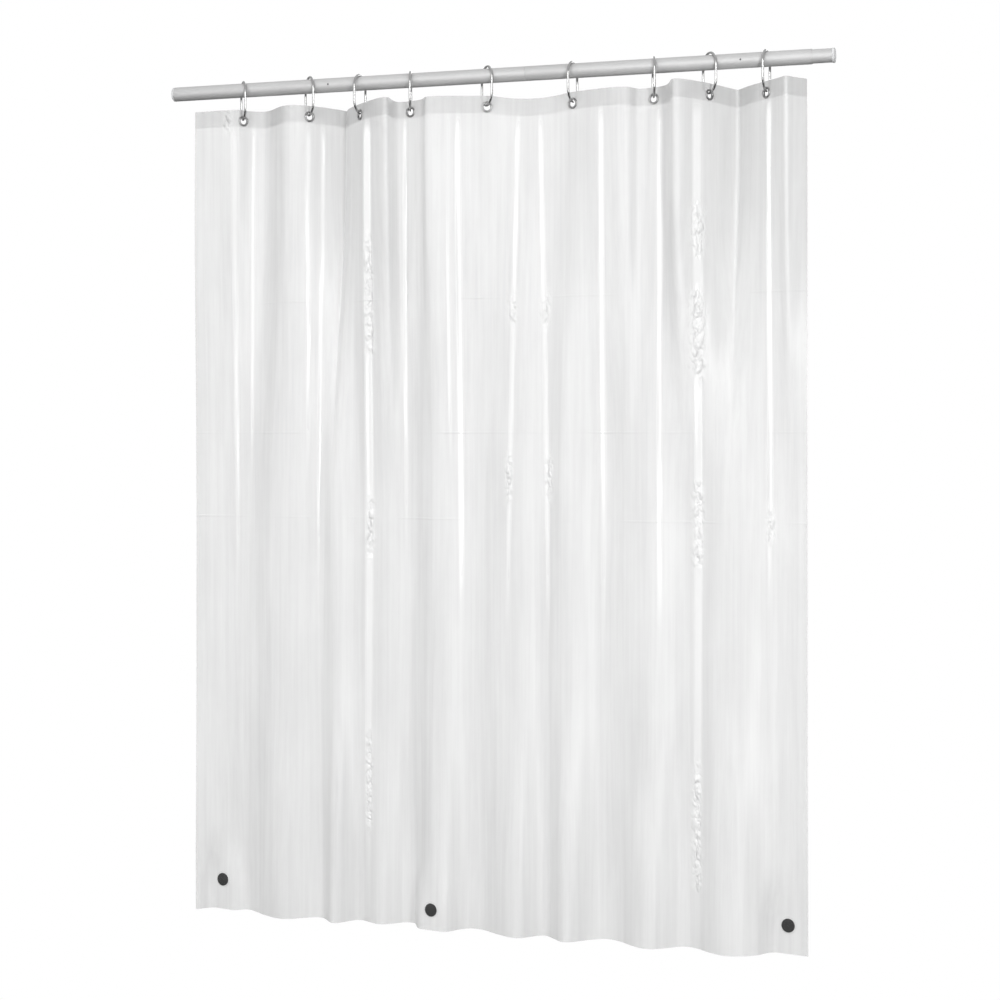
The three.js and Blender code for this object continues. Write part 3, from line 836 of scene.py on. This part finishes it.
def sheet_mesh(places):
    """A grid moved to its places, with its rows from the top down."""
    tall, wide = places.shape[:2]
    bm = bmesh.new()
    bmesh.ops.create_grid(bm, x_segments=wide - 1, y_segments=tall - 1, size=1)
    for vert in bm.verts:
        column = round((vert.co.x + 1) / 2 * (wide - 1))
        row = round((1 - vert.co.y) / 2 * (tall - 1))
        vert.index = row * wide + column
        vert.co = places[row, column]
    return bm


def cut_holes(bm, wide):
    """Opens the film at each eyelet and rounds the edge under the flange."""
    hole_radius = 0.8 * FLANGE_RADIUS
    place = {}
    for vert in bm.verts:
        row, column = divmod(vert.index, wide)
        place[vert] = (COL_CUT[column], vert.co.z)
    outline = {vert for vert in bm.verts if vert.is_boundary}
    gone = []
    for index in range(RING_COUNT):
        centre = (EDGE_MARGIN + index * HOLE_PITCH, HOLE_Z[index])
        for face in bm.faces:
            near = face.verts[0]
            if abs(place[near][0] - centre[0]) > 0.02 or abs(place[near][1] - centre[1]) > 0.02:
                continue
            cut = sum(place[v][0] for v in face.verts) / len(face.verts) - centre[0]
            z = sum(place[v][1] for v in face.verts) / len(face.verts) - centre[1]
            if math.hypot(cut, z) < 0.94 * hole_radius:
                gone.append(face)
    bmesh.ops.delete(bm, geom=gone, context="FACES")
    for vert in bm.verts:
        if not vert.is_boundary or vert in outline:
            continue
        for index, hanger in enumerate(HANGERS):
            cut = place[vert][0] - EDGE_MARGIN - index * HOLE_PITCH
            z = place[vert][1] - HOLE_Z[index]
            away = math.hypot(cut, z)
            if away < 2 * hole_radius:
                step = hole_radius / away - 1
                angle = math.radians(hanger["film"])
                vert.co += Vector((cut * step * math.cos(angle), cut * step * math.sin(angle), z * step))


def film_piece(name, rows, offset, finish, node):
    places = hang(rows, offset)
    bm = sheet_mesh(places)
    drop = np.repeat(rows[:, None], places.shape[1], axis=1)
    for label, mask in (("crumple", crumple_mask), ("drawn", flank_mask)):
        layer = bm.verts.layers.float.new(label)
        values = mask(places[..., 0], drop).ravel()
        for vert in bm.verts:
            vert[layer] = values[vert.index]
    cut_holes(bm, places.shape[1])
    bmesh.ops.recalc_face_normals(bm, faces=bm.faces)
    bmesh.ops.solidify(bm, geom=bm.faces, thickness=FILM_THICKNESS)
    piece = to_object(bm, name, finish, smooth=60)
    return keep(piece, "curtain", "clear_film", node)


def liner():
    film = film_piece("film", ROWS, 0.0, FILM, "liner_film")
    header_rows = ROWS[ROWS <= HEADER_HEIGHT + 1e-6]
    offset = -(FILM_THICKNESS + LAYER_GAP)
    band = film_piece("header_layer", header_rows, offset, BAND, "header_band")
    for piece in (film, band):
        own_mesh(piece)


# ------------------------------------------------- rings, eyelets, magnets


def wire_ring(index):
    """An oval wire ring: a spun wire drawn apart at its middle."""
    low, high = corners(f"ring_{index + 1}")
    height = high.z - low.z
    width = 0.060
    bend = width / 2 - WIRE_RADIUS
    straight = height - width
    steps = 96
    bm = bmesh.new()
    circle = bmesh.ops.create_circle(bm, segments=20, radius=WIRE_RADIUS)["verts"]
    first = Matrix.Rotation(math.pi / steps, 4, "X") @ Matrix.Translation((0, bend, 0))
    bmesh.ops.transform(bm, verts=circle, matrix=first)
    bmesh.ops.spin(
        bm,
        geom=bm.verts[:] + bm.edges[:],
        cent=(0, 0, 0),
        axis=(1, 0, 0),
        angle=math.tau,
        steps=steps,
        use_merge=True,
    )
    bmesh.ops.remove_doubles(bm, verts=bm.verts, dist=1e-6)
    for vert in bm.verts:
        vert.co.z += math.copysign(straight / 2, vert.co.z)
    bmesh.ops.recalc_face_normals(bm, faces=bm.faces)
    turn = Matrix.Rotation(math.radians(HANGERS[index]["ring"]), 4, "Z")
    move = Matrix.Translation((RING_AT[index].x, 0, (low.z + high.z) / 2)) @ turn
    bmesh.ops.transform(bm, matrix=move, verts=bm.verts)
    piece = to_object(bm, f"wire_ring_{index + 1}", WIRE)
    return keep(piece, f"hanger_{index + 1}", "ring_chrome", f"ring_{index + 1}")


FILM_FRONT = FILM_THICKNESS / 2
BAND_BACK = -FILM_FRONT - LAYER_GAP - FILM_THICKNESS


def eyelet(index):
    """A rolled grommet: domed flange, smooth barrel, and a lip rolled over the washer."""
    bore = 0.0075
    wall = 0.0008
    seat = FILM_FRONT + LAYER_GAP
    washer_back = BAND_BACK - LAYER_GAP - 0.0008
    lip = washer_back - LAYER_GAP
    crown = []
    for step in range(9):
        angle = math.pi * step / 8
        centre = (FLANGE_RADIUS + bore) / 2
        reach = (FLANGE_RADIUS - bore) / 2
        crown.append((centre + reach * math.cos(angle), seat + 0.0003 + 0.0013 * math.sin(angle)))
    profile = [
        (bore + 0.0006, lip - 0.0008),
        (bore + 0.0018, lip - 0.0009),
        (bore + 0.0024, lip - 0.0003),
        (bore + 0.0022, lip),
        (bore + wall, lip),
        (bore + wall, seat),
        (FLANGE_RADIUS, seat),
        *crown,
        (bore, washer_back),
    ]
    place = facing(RING_AT[index].x, 0, HOLE_Z[index], HANGERS[index]["film"])
    bm = spun(profile, 48, closed=True)
    bmesh.ops.transform(bm, matrix=place, verts=bm.verts)
    piece = to_object(bm, f"rolled_eyelet_{index + 1}", ROLLED, smooth=50)
    return keep(piece, f"hanger_{index + 1}", "eyelet_metal", f"eyelet_{index + 1}")


def back_washer(index):
    bore = 0.0086
    front = BAND_BACK - LAYER_GAP
    back = front - 0.0008
    profile = [(bore, back), (FLANGE_RADIUS, back), (FLANGE_RADIUS, front), (bore, front)]
    place = facing(RING_AT[index].x, 0, HOLE_Z[index], HANGERS[index]["film"])
    name = f"back_washer_{index + 1}"
    piece = turned(name, profile, ROLLED, closed=True, edge=0.0002, move=place)
    return keep(piece, f"hanger_{index + 1}", "eyelet_metal", f"washer_{index + 1}")


def weight(index):
    """A disc magnet with softened edges, under its clear welded pocket."""
    at = MAGNET_AT[index]
    place = facing(at.x, at.y, at.z, MAGNET_YAW)
    radius, half = 0.0145, 0.001
    disc = [(0, -half), (radius, -half), (radius, half), (0, half)]
    magnet = turned(f"disc_magnet_{index + 1}", disc, MAGNET, edge=0.0005, move=place)
    keep(magnet, f"weight_{index + 1}", "magnet_grey", f"magnet_{index + 1}")
    inside, skin, rim = radius + 0.0003, 0.0004, 0.019
    seat, roof = -half, half + 0.0003
    cover = [
        (0, roof),
        (inside, roof),
        (inside, seat),
        (rim, seat),
        (rim, seat + skin),
        (inside + skin, seat + skin),
        (inside + skin, roof + skin),
        (0, roof + skin),
    ]
    pocket = turned(f"welded_pocket_{index + 1}", cover, POCKET, edge=0.0003, move=place)
    keep(pocket, f"weight_{index + 1}", "pocket_film", f"magnet_pocket_{index + 1}")


# --------------------------------------------------------------------- rod


def tube(name, node, radius, bore, body, slot, finish):
    low, high = corners(node)
    profile = [(bore, low.x), (radius, low.x), (radius, high.x), (bore, high.x)]
    piece = turned(name, profile, finish, sides=96, closed=True, edge=0.0005)
    return keep(piece, body, slot, node)


def foot(name, node, body, side):
    """A soft end cap: a ribbed disc with a rounded face and a spigot inside the tube."""
    low, high = corners(node)
    wall = low.x if side < 0 else high.x
    radius = (high.z - low.z) / 2
    groove = radius - 0.0004
    spigot = (ROD_RADIUS if side < 0 else INNER_RADIUS) - 0.0013
    profile = [(0, 0), (radius - 0.0012, 0), (radius, 0.0012)]
    for rib in (0.0020, 0.0032):
        profile += [(radius, rib), (groove, rib + 0.0002), (groove, rib + 0.0005), (radius, rib + 0.0007)]
    profile += [(radius, 0.005), (spigot, 0.005), (spigot, 0.028), (spigot - 0.002, 0.030), (0, 0.030)]
    place = [(r, wall - side * a) for r, a in profile]
    piece = turned(name, place, FOOT, sides=96, edge=0.0003)
    return keep(piece, body, "foot_plastic", node)


def rivet(name, node):
    low, high = corners(node)
    centre = (low + high) / 2
    radius = (high.z - low.z) / 2
    depth = high.y - low.y
    profile = [(0, 0), (0.0013, 0), (0.0013, depth - 0.0008), (radius, depth - 0.0008)]
    for angle in (0.3, 0.7, 1.1, 1.4):
        profile.append((radius * math.cos(angle), depth - 0.0008 + 0.0008 * math.sin(angle)))
    profile += [(0, depth)]
    bm = spun(profile, 32)
    bmesh.ops.transform(bm, matrix=facing(centre.x, high.y, centre.z, 0), verts=bm.verts)
    piece = to_object(bm, name, STEEL)
    return keep(piece, "rod", "rivet_metal", node)


def rod():
    wall = 0.001
    tube("thick_tube", "outer_tube", ROD_RADIUS, ROD_RADIUS - wall, "rod", "rod_metal", SATIN)
    tube("cover_tube", "glide_sleeve", ROD_RADIUS, ROD_RADIUS - wall, "rod", "rod_metal", SATIN)
    tube("thin_tube", "inner_tube", INNER_RADIUS, INNER_RADIUS - wall, "rod_end", "rod_metal", SATIN)
    foot("left_end_cap", "left_foot", "rod", -1)
    foot("right_end_cap", "right_foot", "rod_end", 1)
    rivet("outer_rivet", "stop_rivet")
    rivet("cover_rivet", "sleeve_rivet")
    for node in ("tube_insert", "lock_plug", "lock_cone"):
        bpy.data.objects[node].data.materials.clear()
        bpy.data.objects[node].data.materials.append(LOCK)
    bpy.data.objects["lock_spindle"].data.materials.clear()
    bpy.data.objects["lock_spindle"].data.materials.append(STEEL)


camera()
studio()
rod()
for number in range(RING_COUNT):
    wire_ring(number)
    eyelet(number)
    back_washer(number)
for number in range(MAGNET_COUNT):
    weight(number)
liner()
